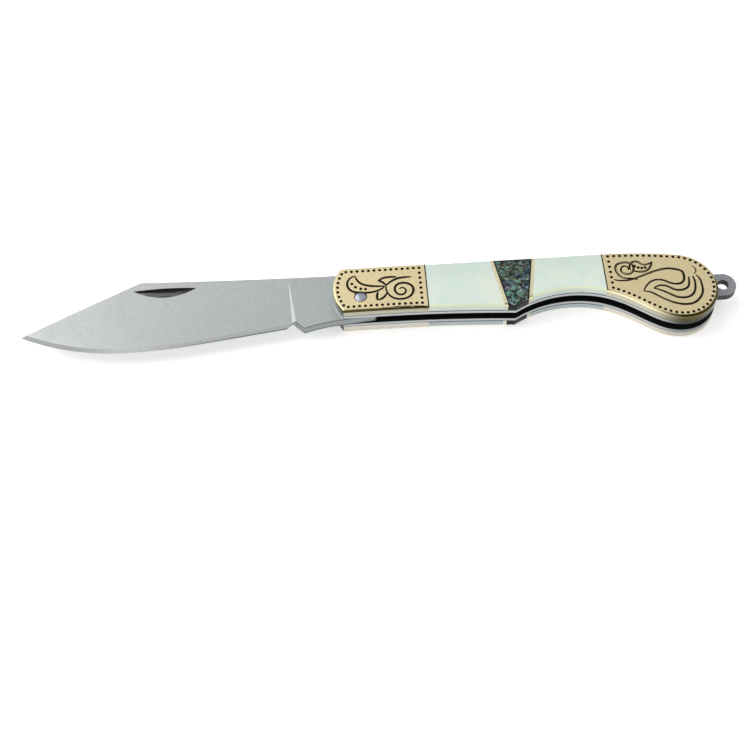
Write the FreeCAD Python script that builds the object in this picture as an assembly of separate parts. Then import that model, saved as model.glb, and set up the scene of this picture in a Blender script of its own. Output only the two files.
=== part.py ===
import FreeCAD, Part
import math
import os

# A slip-joint folding pocket knife that lies on its side with the blade open.
# It is modelled about the pivot axis: X runs to the butt, Y to the spine, and Z = 0 is the middle
# of the thickness. At the end everything moves so that the origin is under the middle of the knife.
# Lengths are in millimetres, angles in degrees. A reach is a distance along X from the pivot axis,
# and a share is a part of another size.

# Layers, from the middle outwards
blade_thickness = 2.7
side_clearance = 0.05
liner_thickness = 1.0
scale_thickness = 2.65
veneer_thickness = 0.45

# Outline of the handle
spine_height = 9.5
nose_reach = 4.9
nose_bow = 2.35
nose_height = 13.85
belly_bow = 0.57
waist_share = 0.5948
waist_height = 10.78
waist_pull = 15.4
cusp_setback = 15.6
cusp_drop = 4.41
butt_reach = 95.5
butt_radius = 9.9
butt_pull = 9.6
crown_radius = 11.4
crown_drop = 1.46
crown_turn_deg = 25.0
sweep_radius = 120.0
corner_radius = 0.4

# Where the handle's face is divided, and how its edge is rounded
front_bolster_reach = 18.0
rear_bolster_share = 0.6874
inlay_share = 0.4361
inlay_width = 10.7
inlay_slant_deg = 10.0
spacer_width = 0.9
front_edge_radius = 0.55
scale_edge_radius = 0.9
joint_line_width = 0.32
joint_line_depth = 0.25

# Pins and their fits
pivot_radius = 1.45
pivot_crown = 0.2
pivot_running_fit = 0.03
countersink_width = 0.22
pin_fit = 0.015
rear_pin_radius = 1.3
rear_pin_setback = 6.7
rear_pin_drop = 7.4
spring_pin_radius = 0.9
spring_pin_share = 0.4712

# Outline of the blade
blade_reach = 90.8
blade_edge_low_share = 0.6883
blade_edge_low_depth = 10.05
blade_belly_radius = 140.0
blade_tip_radius = 63.5
blade_edge_rise_deg = 7.55
heel_reach = 20.1
choil_setback = 1.95
choil_rise = 1.7
choil_radius = 0.75
kick_setback = 4.7
kick_drop = 0.75
ricasso_bow = 0.3
clip_share = 0.65
clip_height = 11.35
clip_corner_radius = 2.5
blade_spine_height = 9.8
blade_spine_dip = 0.25
shoulder_reach = 4.4

# Tang: its flats bear on the spring when the blade is open, half open and closed
closed_angle_deg = 175.0
tang_flat = 4.05
tang_front_reach = 5.3
tang_corner_radius = 0.8

# Grinding of the blade, each size on one side of the middle of its thickness
edge_land = 0.02
bevel_width = 1.2
bevel_land = 0.28
grind_margin = 0.9
plunge_setback = 2.5
plunge_lean_deg = 6.4
plunge_slope_deg = 45.0
nick_share = 0.5787
nick_drop = 2.2
nick_length = 17.0
nick_ramp = 2.5
nick_wall = 0.4
nick_depth = 0.7

# Back spring, and the tail block behind it with its lanyard lug
shoulder_gap = 0.15
spring_pad_end_reach = 4.9
spring_seat_gap = 0.02
kick_gap = 0.06
kick_ramp = 3.2
edge_clearance = 0.8
block_share = 0.6492
ledge_lead = 4.0
ledge_seat = 4.0
ledge_thickness = 1.8
block_slope_deg = 12.5
tail_setback = 4.8
tail_slope_deg = 23.5
lug_overhang = 2.45
lug_drop = 10.0
lug_radius = 3.55
lug_thickness = 2.0
lug_root_lead = 3.8
lanyard_hole_radius = 1.55

# Etched ornament and the dotted border of the bolsters
front_ornament_height = 13.95
rear_ornament_height = 21.7
etch_width = 0.7
etch_floor_width = 0.32
etch_depth = 0.2
etch_overrun = 0.05
dot_radius = 0.43
dot_depth = 0.22
dot_margin = 1.25
dot_joint_margin = 1.75
front_joint_count = 7
front_rim_count = 35
rear_joint_count = 6
rear_rim_count = 43

# How far a cutting shape runs past what it cuts, how close two places count as one, how many steps
# the side of an etched line takes between two of its places, and how finely the rim is measured
overrun = 3.0
same_place = 0.001
side_step_count = 4
rim_step_count = 2000

# The ornament as shares of its panel's length and of its own height, which hangs from the spine
front_stroke_shares = {
    "flower_outside": [(0.24, 0.80), (0.18, 0.74), (0.155, 0.63), (0.19, 0.47), (0.285, 0.41),
                       (0.365, 0.40), (0.445, 0.42), (0.545, 0.51)],
    "flower_inside": [(0.243, 0.79), (0.26, 0.715), (0.295, 0.63), (0.345, 0.58), (0.405, 0.55),
                      (0.485, 0.535), (0.545, 0.53)],
    "upper_leaf_front": [(0.56, 0.55), (0.535, 0.615), (0.485, 0.665)],
    "upper_leaf_back": [(0.49, 0.672), (0.545, 0.72), (0.60, 0.735), (0.68, 0.73)],
    "stem": [(0.565, 0.54), (0.62, 0.63), (0.69, 0.69), (0.76, 0.71), (0.835, 0.71)],
    "lower_leaf_front": [(0.475, 0.40), (0.46, 0.30), (0.465, 0.215)],
    "lower_leaf_back": [(0.47, 0.222), (0.535, 0.28), (0.565, 0.365)],
    "spiral": [(0.565, 0.53), (0.566, 0.42), (0.594, 0.31), (0.642, 0.238), (0.72, 0.21), (0.80, 0.253),
               (0.845, 0.36), (0.842, 0.484), (0.80, 0.556), (0.737, 0.581), (0.677, 0.542),
               (0.653, 0.448), (0.673, 0.347), (0.72, 0.31), (0.763, 0.354), (0.767, 0.426),
               (0.74, 0.469), (0.705, 0.448)],
}
front_dot_shares = [(0.205, 0.625), (0.24, 0.545), (0.295, 0.50), (0.345, 0.485)]

rear_stroke_shares = {
    "plume_stem": [(0.10, 0.585), (0.16, 0.565), (0.23, 0.567), (0.295, 0.592), (0.38, 0.635),
                   (0.46, 0.675), (0.53, 0.70), (0.595, 0.705), (0.66, 0.685), (0.705, 0.65),
                   (0.715, 0.60), (0.712, 0.54), (0.69, 0.487), (0.64, 0.468), (0.58, 0.491),
                   (0.53, 0.532), (0.47, 0.548), (0.41, 0.518), (0.37, 0.463), (0.342, 0.39)],
    "leaf_top": [(0.258, 0.72), (0.26, 0.79), (0.29, 0.835), (0.33, 0.835), (0.379, 0.785),
                 (0.42, 0.79), (0.46, 0.82)],
    "leaf_foot": [(0.457, 0.81), (0.44, 0.755), (0.405, 0.70), (0.345, 0.68), (0.285, 0.70)],
    "plume_outside": [(0.35, 0.386), (0.395, 0.37), (0.46, 0.306), (0.545, 0.225), (0.63, 0.173),
                      (0.695, 0.16), (0.765, 0.182), (0.815, 0.24), (0.848, 0.32), (0.856, 0.42),
                      (0.85, 0.51), (0.825, 0.58)],
    "plume_middle": [(0.79, 0.565), (0.80, 0.51), (0.797, 0.42), (0.78, 0.34), (0.74, 0.28),
                     (0.68, 0.26), (0.613, 0.28), (0.563, 0.325), (0.496, 0.385), (0.436, 0.42)],
    "plume_inside": [(0.754, 0.56), (0.75, 0.49), (0.73, 0.412), (0.68, 0.376), (0.613, 0.385),
                     (0.563, 0.431), (0.513, 0.459), (0.47, 0.454), (0.436, 0.426)],
    "scroll": [(0.30, 0.565), (0.245, 0.59), (0.175, 0.61), (0.145, 0.66), (0.128, 0.735), (0.14, 0.80),
               (0.19, 0.833), (0.245, 0.83), (0.283, 0.79), (0.285, 0.72), (0.26, 0.67), (0.215, 0.66),
               (0.18, 0.69), (0.178, 0.745), (0.205, 0.78), (0.235, 0.765), (0.24, 0.725)],
    "pin_arc": [(0.803, 0.713), (0.82, 0.681), (0.822, 0.642), (0.806, 0.609)],
}
rear_dot_shares = [(0.30, 0.77), (0.33, 0.745), (0.36, 0.735), (0.39, 0.74)]

# How much wider than even the steps between the dots are where the rim starts at the spine
front_taper_share = 0.0
rear_taper_share = 0.045

# Width of an etched line at its ends
etch_end_share = 0.5

# Reaches that go with the length of the handle or of the blade
waist_reach = butt_reach * waist_share
inlay_reach = butt_reach * inlay_share
rear_bolster_reach = butt_reach * rear_bolster_share
block_reach = butt_reach * block_share
spring_pin_reach = butt_reach * spring_pin_share
rear_pin_reach = butt_reach - rear_pin_setback
lug_root_reach = rear_pin_reach + lug_root_lead
lug_reach = butt_reach + lug_overhang
blade_edge_low_reach = blade_reach * blade_edge_low_share
clip_reach = blade_reach * clip_share
nick_reach = blade_reach * nick_share

# Levels above the middle of the thickness
blade_half = blade_thickness / 2
slot_half = blade_half + side_clearance
liner_level = slot_half + liner_thickness
face_level = liner_level + scale_thickness
veneer_level = face_level - veneer_thickness


def at(x, y, z=0):
    return FreeCAD.Vector(x, y, z)


def turned(point, degrees):
    """A point swung about the pivot axis."""
    c, s = math.cos(math.radians(degrees)), math.sin(math.radians(degrees))
    return at(c * point.x - s * point.y, s * point.x + c * point.y)


def around(centre, radius, degrees):
    return centre + turned(at(radius, 0), degrees)


def line(start, end):
    return Part.LineSegment(start, end).toShape()


def swing(centre, radius, start_deg, end_deg):
    """Arc about a centre, from one direction to another."""
    places = [around(centre, radius, start_deg + (end_deg - start_deg) * k / 2) for k in range(3)]
    return Part.Arc(*places).toShape()


def bowed(start, end, rise):
    """Arc whose middle stands off the straight line by rise, to the left of start to end."""
    along = end - start
    middle = (start + end) / 2 + at(-along.y, along.x) * (rise / along.Length)
    return Part.Arc(start, middle, end).toShape()


def touch(point, centre, radius, side):
    """Where a straight line from a point touches a circle, on its left (1) or right (-1)."""
    away = point - centre
    lean = side * math.degrees(math.acos(radius / away.Length))
    return around(centre, radius, math.degrees(math.atan2(away.y, away.x)) + lean)


def plate(edges, bottom, top):
    """Flat piece with this outline, between two levels."""
    solid = Part.Face(Part.Wire(edges)).extrude(at(0, 0, top - bottom))
    solid.translate(at(0, 0, bottom))
    return solid


def polygon(points):
    return [line(a, b) for a, b in zip(points, points[1:] + points[:1])]


def post(x, y, radius, bottom, top):
    return Part.makeCylinder(radius, top - bottom, at(x, y, bottom))


def upright_edges(solid, places):
    """Edges of a plate that stand at the given places of its outline."""
    found = []
    for edge in solid.Edges:
        ends = [at(v.X, v.Y) for v in edge.Vertexes]
        if len(ends) == 2 and (ends[0] - ends[1]).Length < same_place:
            if min((ends[0] - at(p.x, p.y)).Length for p in places) < same_place:
                found.append(edge)
    return found


# Places on the outline of the handle
nose_top = at(-nose_reach, spine_height)
nose_foot = at(-nose_reach, spine_height - nose_height)
waist = at(waist_reach, spine_height - waist_height)
cusp = waist - at(cusp_setback, cusp_drop)
crown_step = turned(at(crown_radius - butt_radius, 0), crown_turn_deg)
crown_centre = at(butt_reach - butt_radius - crown_step.x, spine_height - crown_drop - crown_radius)
butt_centre = crown_centre + crown_step
butt_foot = butt_centre - at(0, butt_radius)
sweep_length = math.sqrt(crown_drop * (2 * (sweep_radius - crown_radius) - crown_drop))
sweep_start = at(crown_centre.x - sweep_length, spine_height)
sweep_centre = sweep_start - at(0, sweep_radius)
sweep_end_deg = math.degrees(math.atan2(crown_centre.y - sweep_centre.y, sweep_length))
rear_pin_height = spine_height - rear_pin_drop


def handle_outline():
    """Edges round the handle: spine, crown, butt, flank, waist, belly and nose."""
    waist_turn_deg = 2 * math.degrees(math.atan2(cusp_drop, cusp_setback))
    waist_radius = cusp_setback / math.sin(math.radians(waist_turn_deg))
    flank = Part.BezierCurve()
    flank.setPoles([butt_foot, butt_foot - at(butt_pull, 0), waist + at(waist_pull, 0), waist])
    upright_deg = 90
    return [
        line(nose_top, sweep_start),
        swing(sweep_centre, sweep_radius, upright_deg, sweep_end_deg),
        swing(crown_centre, crown_radius, sweep_end_deg, crown_turn_deg),
        swing(butt_centre, butt_radius, crown_turn_deg, -upright_deg),
        flank.toShape(),
        swing(waist - at(0, waist_radius), waist_radius, upright_deg, upright_deg + waist_turn_deg),
        bowed(cusp, nose_foot, -belly_bow),
        bowed(nose_foot, nose_top, nose_bow),
    ]


def handle_plate(bottom, top):
    solid = plate(handle_outline(), bottom, top)
    return solid.makeFillet(corner_radius, upright_edges(solid, [nose_top, nose_foot, cusp]))


def scale_blank(edge_radius):
    """One side of the handle above its liner, in one piece, with its outer edge rounded."""
    solid = handle_plate(liner_level, face_level)
    rim = [e for e in solid.Edges if e.BoundBox.ZMin > face_level - same_place]
    return solid.makeFillet(edge_radius, rim)


# Limits of the shapes that divide the handle
divide_top = spine_height + overrun
divide_foot = butt_foot.y - overrun
divide_front = -nose_reach - nose_bow - overrun
divide_rear = butt_reach + overrun


def slant(offset, side):
    """Lower and upper ends of a slanted joint, offset out from the inlay's rear (1) or front (-1)."""
    ends = []
    for y in (divide_foot, divide_top):
        half = inlay_width / 2 + (y - spine_height) * math.tan(math.radians(inlay_slant_deg))
        ends.append(at(inlay_reach + side * (half + offset), y))
    return ends


def upright(x):
    return [at(x, divide_foot), at(x, divide_top)]


def band(front, rear, bottom=liner_level, top=face_level):
    """Block between two joints of the handle's face."""
    return plate(polygon([front[0], rear[0], rear[1], front[1]]), bottom, top)


def panel(front, rear):
    """Outline of the handle's face between two joints."""
    face = Part.Face(Part.Wire(handle_outline()))
    strip = Part.Face(Part.Wire(polygon([front[0], rear[0], rear[1], front[1]])))
    return face.common(strip).Faces[0].OuterWire


def groove_outline(path, count, width, level):
    """Outline of an etched line at a level: its two sides, closer together towards its round ends."""
    first, last = path.FirstParameter, path.LastParameter
    stops = [first + (last - first) * k / count for k in range(count + 1)]
    swells = [math.sqrt(math.sin(math.pi * k / count)) for k in range(count)] + [0]
    halves = [width / 2 * (etch_end_share + (1 - etch_end_share) * swell) for swell in swells]
    ahead = [path.tangent(u)[0] * half for u, half in zip(stops, halves)]
    left = [path.value(u) + at(-a.y, a.x) for u, a in zip(stops, ahead)]
    right = [path.value(u) - at(-a.y, a.x) for u, a in zip(stops, ahead)]
    sides = [Part.BSplineCurve(), Part.BSplineCurve()]
    sides[0].interpolate(left)
    sides[1].interpolate(right)
    wire = Part.Wire(Part.__sortEdges__([
        sides[0].toShape(),
        Part.Arc(left[-1], path.value(last) + ahead[-1], right[-1]).toShape(),
        sides[1].toShape(),
        Part.Arc(right[0], path.value(first) - ahead[0], left[0]).toShape(),
    ]))
    wire.translate(at(0, 0, level))
    return wire


def groove(points):
    """Etched line with sloping sides, on a smooth curve through the points."""
    path = Part.BSplineCurve()
    path.interpolate(points)
    count = side_step_count * (len(points) - 1)
    widening = (etch_width - etch_floor_width) * etch_overrun / etch_depth
    return Part.makeLoft([
        groove_outline(path, count, etch_floor_width, face_level - etch_depth),
        groove_outline(path, count, etch_width + widening, face_level + etch_overrun),
    ], True, True)


def pit(place):
    return post(place.x, place.y, dot_radius, face_level - dot_depth, face_level + overrun)


def border_dots(front, rear, rim_count, joint_count, taper_share):
    """Places of the dotted border of a bolster between two joints: round its rim, then along its joint."""
    inset = at(dot_joint_margin - dot_margin, 0)
    border = panel([p + inset for p in front], [p - inset for p in rear]).makeOffset2D(-dot_margin)
    joint_reaches = [front[0].x + dot_joint_margin, rear[0].x - dot_joint_margin]
    rim = [e for e in border.Edges if min(abs(e.CenterOfMass.x - x) for x in joint_reaches) > same_place]
    stops = Part.Wire(Part.__sortEdges__(rim)).discretize(Number=rim_step_count + 1)
    if stops[0].y < stops[-1].y:
        stops.reverse()
    parts = [k / rim_count for k in range(rim_count + 1)]
    places = [stops[round(rim_step_count * (t + taper_share * t * (1 - t)))] for t in parts]
    step = (places[-1] - places[0]) / joint_count
    return places + [places[0] + step * k for k in range(1, joint_count)]


def etched(solid, front, rear, height, stroke_shares, dot_shares, border):
    """Bolster between two joints with a scroll, its dots and the border's dots cut into the face."""
    box = panel(front, rear).BoundBox

    def place(shares):
        return at(box.XMin + shares[0] * box.XLength, spine_height - (1 - shares[1]) * height)

    for stroke in stroke_shares.values():
        solid = solid.cut(groove([place(p) for p in stroke]))
    return solid.cut([pit(p) for p in [place(p) for p in dot_shares] + border])


def joint_rebate(reach):
    """Cutter for the shallow step that a bolster has along its joint with the pearl."""
    sides = upright(reach), upright(reach + joint_line_width)
    return band(*sides, face_level - joint_line_depth, face_level + overrun)


def front_bolster():
    """Front bolster with its countersunk pivot hole."""
    joints = upright(divide_front), upright(front_bolster_reach)
    rebate = joint_rebate(front_bolster_reach - joint_line_width)
    solid = scale_blank(front_edge_radius).common(band(*joints)).cut(rebate)
    hole_radius = pivot_radius + pin_fit
    hole = post(0, 0, hole_radius, liner_level - overrun, face_level + overrun)
    rim_radius = hole_radius + countersink_width
    sink = Part.makeCone(hole_radius, rim_radius, pivot_crown, at(0, 0, face_level - pivot_crown))
    border = border_dots(*joints, front_rim_count, front_joint_count, front_taper_share)
    shares = front_stroke_shares, front_dot_shares
    return etched(solid.cut([hole, sink]), *joints, front_ornament_height, *shares, border)


def rear_bolster(blank):
    joints = upright(rear_bolster_reach), upright(divide_rear)
    hole_radius = rear_pin_radius + pin_fit
    hole = post(rear_pin_reach, rear_pin_height, hole_radius, liner_level - overrun, face_level + overrun)
    solid = blank.common(band(*joints)).cut([hole, joint_rebate(rear_bolster_reach)])
    border = border_dots(*joints, rear_rim_count, rear_joint_count, rear_taper_share)
    shares = rear_stroke_shares, rear_dot_shares
    return etched(solid, *joints, rear_ornament_height, *shares, border)


def side_pieces():
    """Pieces of the left side, by name."""
    blank = scale_blank(scale_edge_radius)
    inlay = slant(0, -1), slant(0, 1)
    outer = slant(spacer_width, -1), slant(spacer_width, 1)
    pin_holes = [
        post(0, 0, pivot_radius + pin_fit, 0, face_level),
        post(rear_pin_reach, rear_pin_height, rear_pin_radius + pin_fit, 0, face_level),
        post(spring_pin_reach, spring_pin_height, spring_pin_radius + pin_fit, 0, face_level),
    ]
    return {
        "liner": handle_plate(slot_half, liner_level).cut(pin_holes),
        "front_bolster": front_bolster(),
        "front_pearl_scale": blank.common(band(upright(front_bolster_reach), outer[0])),
        "front_spacer": blank.common(band(outer[0], inlay[0])),
        "inlay_backing": blank.common(band(*inlay, top=veneer_level)),
        "abalone_inlay": blank.common(band(*inlay, bottom=veneer_level)),
        "rear_spacer": blank.common(band(inlay[1], outer[1])),
        "rear_pearl_scale": blank.common(band(outer[1], upright(rear_bolster_reach))),
        "rear_bolster": rear_bolster(blank),
    }


# Places on the outline of the blade
belly_centre = at(-blade_edge_low_reach, blade_belly_radius - blade_edge_low_depth)
tip_centre = at(-blade_edge_low_reach, blade_tip_radius - blade_edge_low_depth)
down_deg = -90
belly_start_deg = down_deg + blade_edge_rise_deg
tip_deg = down_deg - math.degrees(math.asin((blade_reach - blade_edge_low_reach) / blade_tip_radius))
tip = around(tip_centre, blade_tip_radius, tip_deg)
belly_start = around(belly_centre, blade_belly_radius, belly_start_deg)
heel_run = -heel_reach - belly_start.x
heel = belly_start + at(heel_run, heel_run * math.tan(math.radians(blade_edge_rise_deg)))
choil_centre = heel + at(choil_setback, choil_rise - choil_radius)
kick = heel + at(kick_setback, -kick_drop)
clip = at(-clip_reach, clip_height)
shoulder_top = at(-shoulder_reach, blade_spine_height)
shoulder_foot = at(-shoulder_reach, tang_flat)


def closed_flat(x):
    """Place at this X on the flat of the tang that faces the spring when the blade is closed."""
    lean = math.radians(180 - closed_angle_deg)
    return at(x, x * math.tan(lean) - tang_flat / math.cos(lean))


def rounded_corner(before, corner, after, radius):
    """Start, middle and end of the arc that rounds a corner between two straight sides."""
    back = (before - corner).normalize()
    ahead = (after - corner).normalize()
    half_angle = back.getAngle(ahead) / 2
    run = radius / math.tan(half_angle)
    inward = (back + ahead).normalize()
    middle = corner + inward * (radius / math.sin(half_angle) - radius)
    return corner + back * run, middle, corner + ahead * run


def blade_outline():
    """Edges round the blade: spine, shoulder, tang, ricasso, kick, choil, edge and clip."""
    back_corner = at(tang_flat, tang_flat)
    front_corner = closed_flat(tang_flat)
    flat_start = closed_flat(-tang_front_reach)
    upper = rounded_corner(shoulder_foot, back_corner, front_corner, tang_corner_radius)
    lower = rounded_corner(back_corner, front_corner, flat_start, tang_corner_radius)
    choil_rear = touch(kick, choil_centre, choil_radius, 1)
    choil_front = touch(heel, choil_centre, choil_radius, -1)
    choil_top = choil_centre + at(0, choil_radius)
    return [
        bowed(clip, shoulder_top, -blade_spine_dip),
        line(shoulder_top, shoulder_foot),
        line(shoulder_foot, upper[0]),
        Part.Arc(*upper).toShape(),
        line(upper[2], lower[0]),
        Part.Arc(*lower).toShape(),
        line(lower[2], flat_start),
        bowed(flat_start, kick, -ricasso_bow),
        line(kick, choil_rear),
        Part.Arc(choil_rear, choil_top, choil_front).toShape(),
        line(choil_front, heel),
        line(heel, belly_start),
        swing(belly_centre, blade_belly_radius, belly_start_deg, down_deg),
        swing(tip_centre, blade_tip_radius, down_deg, tip_deg),
        line(tip, clip),
    ]


# Limits of the shapes that grind the blade
grind_rear = -tang_front_reach
grind_top = clip_height + blade_edge_low_depth
grind_end_deg = tip_deg - blade_edge_rise_deg


def ground_region(low_side, level):
    """Closed outline at a level, from the side nearest the edge round over the spine."""
    front = low_side[-1].Vertexes[-1].Point
    rear = low_side[0].Vertexes[0].Point
    corners = [front, at(front.x, grind_top), at(grind_rear, grind_top), rear]
    wire = Part.Wire(low_side + [line(a, b) for a, b in zip(corners, corners[1:])])
    wire.translate(at(0, 0, level))
    return wire


def edge_region(inset, level):
    """Region of the blade further than inset from its cutting edge."""
    start = around(belly_centre, blade_belly_radius - inset, belly_start_deg)
    run = grind_rear - start.x
    rear = start + at(run, run * math.tan(math.radians(blade_edge_rise_deg)))
    return ground_region([
        line(rear, start),
        swing(belly_centre, blade_belly_radius - inset, belly_start_deg, down_deg),
        swing(tip_centre, blade_tip_radius - inset, down_deg, grind_end_deg),
    ], level)


def spine_region(level):
    """Region of the blade behind the line where the grind meets its full thickness."""
    high, low = clip.y - grind_margin, shoulder_top.y - grind_margin
    fall = (high - low) / (shoulder_top.x - clip.x)
    front_x = around(tip_centre, blade_tip_radius - bevel_width, grind_end_deg).x
    stops = [at(x, high - fall * (x - clip.x)) for x in (grind_rear, belly_start.x, tip_centre.x, front_x)]
    return ground_region([line(a, b) for a, b in zip(stops, stops[1:])], level)


def ricasso_block():
    """The part of the blade behind the plunge line, which stays at full thickness."""
    lean = math.tan(math.radians(plunge_lean_deg))
    slope = blade_half * math.tan(math.radians(plunge_slope_deg))
    foot = at(-heel_reach + plunge_setback, heel.y + choil_rise)
    levels = []
    for level, shift in ((0, slope), (blade_half, 0)):
        corners = [
            at(foot.x - lean * (y - foot.y) - shift, y) for y in (-grind_top, grind_top)
        ]
        corners += [at(grind_top, grind_top), at(grind_top, -grind_top)]
        wire = Part.Wire(polygon(corners))
        wire.translate(at(0, 0, level))
        levels.append(wire)
    return Part.makeLoft(levels, True, True)


def nail_nick():
    """Round cutter that leaves a steep wall on the side of the spine and a ramp below it."""
    half_length = nick_length / 2
    radius = (half_length ** 2 + nick_depth ** 2) / (2 * nick_depth)
    small_radius = radius - nick_depth
    bevel_top = bevel_width - blade_edge_low_depth
    ground_slope = (blade_half - bevel_land) / (clip_height - grind_margin - bevel_top)
    foot_y = clip_height - nick_drop - nick_wall - nick_ramp
    foot = at(-nick_reach, foot_y, bevel_land + ground_slope * (foot_y - bevel_top))
    along = at(0, 1, ground_slope).normalize()
    centre = foot + at(0, -along.z, along.y) * small_radius
    ramp = Part.makeCone(small_radius, radius, nick_ramp, centre, along)
    wall = Part.makeCone(radius, small_radius, nick_wall, centre + along * nick_ramp, along)
    return ramp.fuse(wall)


def blade():
    """Blade with flat grind, sharpened bevel, plunge, nail nick and pivot hole."""
    prism = plate(blade_outline(), 0, blade_half)
    prism = prism.makeFillet(clip_corner_radius, upright_edges(prism, [clip]))
    bevel_slope = (bevel_land - edge_land) / bevel_width
    ground = Part.makeLoft([
        edge_region(-bevel_width, edge_land - bevel_slope * bevel_width),
        edge_region(bevel_width, bevel_land),
        spine_region(blade_half),
    ], True, True)
    half = prism.common(ground).fuse(prism.common(ricasso_block())).removeSplitter()
    whole = half.fuse(half.mirror(at(0, 0), at(0, 0, 1))).removeSplitter()
    hole = post(0, 0, pivot_radius + pivot_running_fit, -slot_half, slot_half)
    return whole.cut([hole, nail_nick()])


# Underside of the spring, clear of the closed blade
closed_kick = turned(kick, closed_angle_deg)
closed_edge = turned(belly_centre, closed_angle_deg).y + blade_belly_radius
pad_level = tang_flat + spring_seat_gap
kick_level = closed_kick.y + kick_gap
leaf_level = closed_edge + edge_clearance
spring_pin_height = (spine_height + leaf_level) / 2
ledge_level = leaf_level + ledge_thickness
ledge_front = block_reach - ledge_lead
ledge_rear = block_reach + ledge_seat


def back_layer(points):
    """Piece between the liners: the part of the handle's outline that lies in a region."""
    return handle_plate(-slot_half, slot_half).common(plate(polygon(points), -slot_half, slot_half))


def back_spring():
    """Spring from its pad over the tang to its tail, which lies on the ledge of the tail block."""
    nose_x = -shoulder_reach + shoulder_gap
    pad_end = at(spring_pad_end_reach, pad_level)
    ramp_start = at(closed_kick.x + choil_setback, kick_level)
    leaf = back_layer([
        at(nose_x, pad_level), pad_end, pad_end + at(kick_level - pad_level, kick_level - pad_level),
        ramp_start, at(ramp_start.x + kick_ramp, leaf_level), at(ledge_front, leaf_level),
        at(ledge_front, ledge_level), at(ledge_rear, ledge_level),
        at(ledge_rear, divide_top), at(nose_x, divide_top),
    ])
    hole_radius = spring_pin_radius + pin_fit
    return leaf.cut(post(spring_pin_reach, spring_pin_height, hole_radius, -slot_half, slot_half))


def tail_block():
    """Block between the liners at the butt, with the spring's ledge and the lanyard lug."""
    tail_run = rear_pin_reach - tail_setback - block_reach
    tail = at(block_reach + tail_run, leaf_level - tail_run * math.tan(math.radians(block_slope_deg)))
    root_run = lug_root_reach - tail.x
    root = at(lug_root_reach, tail.y - root_run * math.tan(math.radians(tail_slope_deg)))
    body = back_layer([
        at(ledge_front, leaf_level), at(block_reach, leaf_level), tail, root,
        at(divide_rear, root.y), at(divide_rear, divide_top), at(ledge_rear, divide_top),
        at(ledge_rear, ledge_level), at(ledge_front, ledge_level),
    ])
    lug_height = spine_height - lug_drop
    low, high = lug_height - lug_radius, lug_height + lug_radius
    lug = plate(polygon([
        at(lug_root_reach, low), at(lug_reach, low), at(lug_reach, high), at(lug_root_reach, high),
    ]), -lug_thickness / 2, lug_thickness / 2)
    eye = post(lug_reach, lug_height, lug_radius, -lug_thickness / 2, lug_thickness / 2)
    return body.fuse([lug, eye]).removeSplitter().cut([
        post(lug_reach, lug_height, lanyard_hole_radius, -slot_half, slot_half),
        post(rear_pin_reach, rear_pin_height, rear_pin_radius + pin_fit, -slot_half, slot_half),
    ])


def pivot_pin():
    """Rivet whose crowned ends are level with the faces of the bolsters."""
    ball_radius = (pivot_radius ** 2 + pivot_crown ** 2) / (2 * pivot_crown)
    crown_half_turn = math.asin(pivot_radius / ball_radius) / 2
    slope = at(ball_radius * math.sin(crown_half_turn), 0, ball_radius * (math.cos(crown_half_turn) - 1))
    top, rim = at(0, 0, face_level), at(pivot_radius, 0, face_level - pivot_crown)
    foot, low_rim = at(0, 0, -face_level), at(pivot_radius, 0, pivot_crown - face_level)
    profile = [
        line(foot, top),
        Part.Arc(top, top + slope, rim).toShape(),
        line(rim, low_rim),
        Part.Arc(low_rim, foot + at(slope.x, 0, -slope.z), foot).toShape(),
    ]
    return Part.Face(Part.Wire(profile)).revolve(at(0, 0), at(0, 0, 1))


knife = {
    "blade": blade(),
    "pivot_pin": pivot_pin(),
    "rear_pin": post(rear_pin_reach, rear_pin_height, rear_pin_radius, -face_level, face_level),
    "spring_pin": post(spring_pin_reach, spring_pin_height, spring_pin_radius, -liner_level, liner_level),
    "back_spring": back_spring(),
    "tail_block": tail_block(),
}
for name, solid in side_pieces().items():
    knife["left_" + name] = solid
    knife["right_" + name] = solid.mirror(at(0, 0), at(0, 0, 1))

box = Part.makeCompound(list(knife.values())).optimalBoundingBox(False)
origin = at(box.Center.x, box.Center.y, box.ZMin)
os.makedirs("parts", exist_ok=True)
for name, solid in knife.items():
    piece = solid.Solids[0] if len(solid.Solids) == 1 else solid
    piece.translate(origin * -1)
    piece.exportStep("parts/" + name + ".step")
print("pivot axis", round(-origin.x, 4), round(-origin.y, 4), "middle", round(-origin.z, 4))
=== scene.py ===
"""Finishes, light and camera for a folding pocket knife.

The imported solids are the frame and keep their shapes. Each gets a finish made of shader nodes, which read
Object coordinates in metres: X runs from the point of the blade to the butt, Y from the cutting edge to
the spine, and Z up out of the left face, the one with the nail nick.
"""

import logging
import math
from dataclasses import dataclass, field
from enum import Enum
from typing import Dict, Mapping, Optional, Sequence, Tuple, Union

import bmesh
import bpy
from mathutils import Matrix, Vector


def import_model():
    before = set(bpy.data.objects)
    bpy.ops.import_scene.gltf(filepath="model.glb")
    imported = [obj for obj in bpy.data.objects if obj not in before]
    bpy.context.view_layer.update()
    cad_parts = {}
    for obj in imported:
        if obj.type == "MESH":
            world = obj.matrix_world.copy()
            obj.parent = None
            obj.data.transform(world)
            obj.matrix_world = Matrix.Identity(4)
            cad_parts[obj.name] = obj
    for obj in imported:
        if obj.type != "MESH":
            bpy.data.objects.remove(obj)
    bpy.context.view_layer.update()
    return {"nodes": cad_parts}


log = logging.getLogger("pocket_knife")

Colour = Tuple[float, float, float, float]
Triple = Tuple[float, float, float]
Socket = bpy.types.NodeSocket
Value = Union[Socket, float, Tuple[float, ...]]
# Two ends of a span; for a mask, where it starts and where it is full
Range = Tuple[float, float]

MM = 0.001
BLACK: Colour = (0.0, 0.0, 0.0, 1.0)
WHITE: Colour = (1.0, 1.0, 1.0, 1.0)

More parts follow.
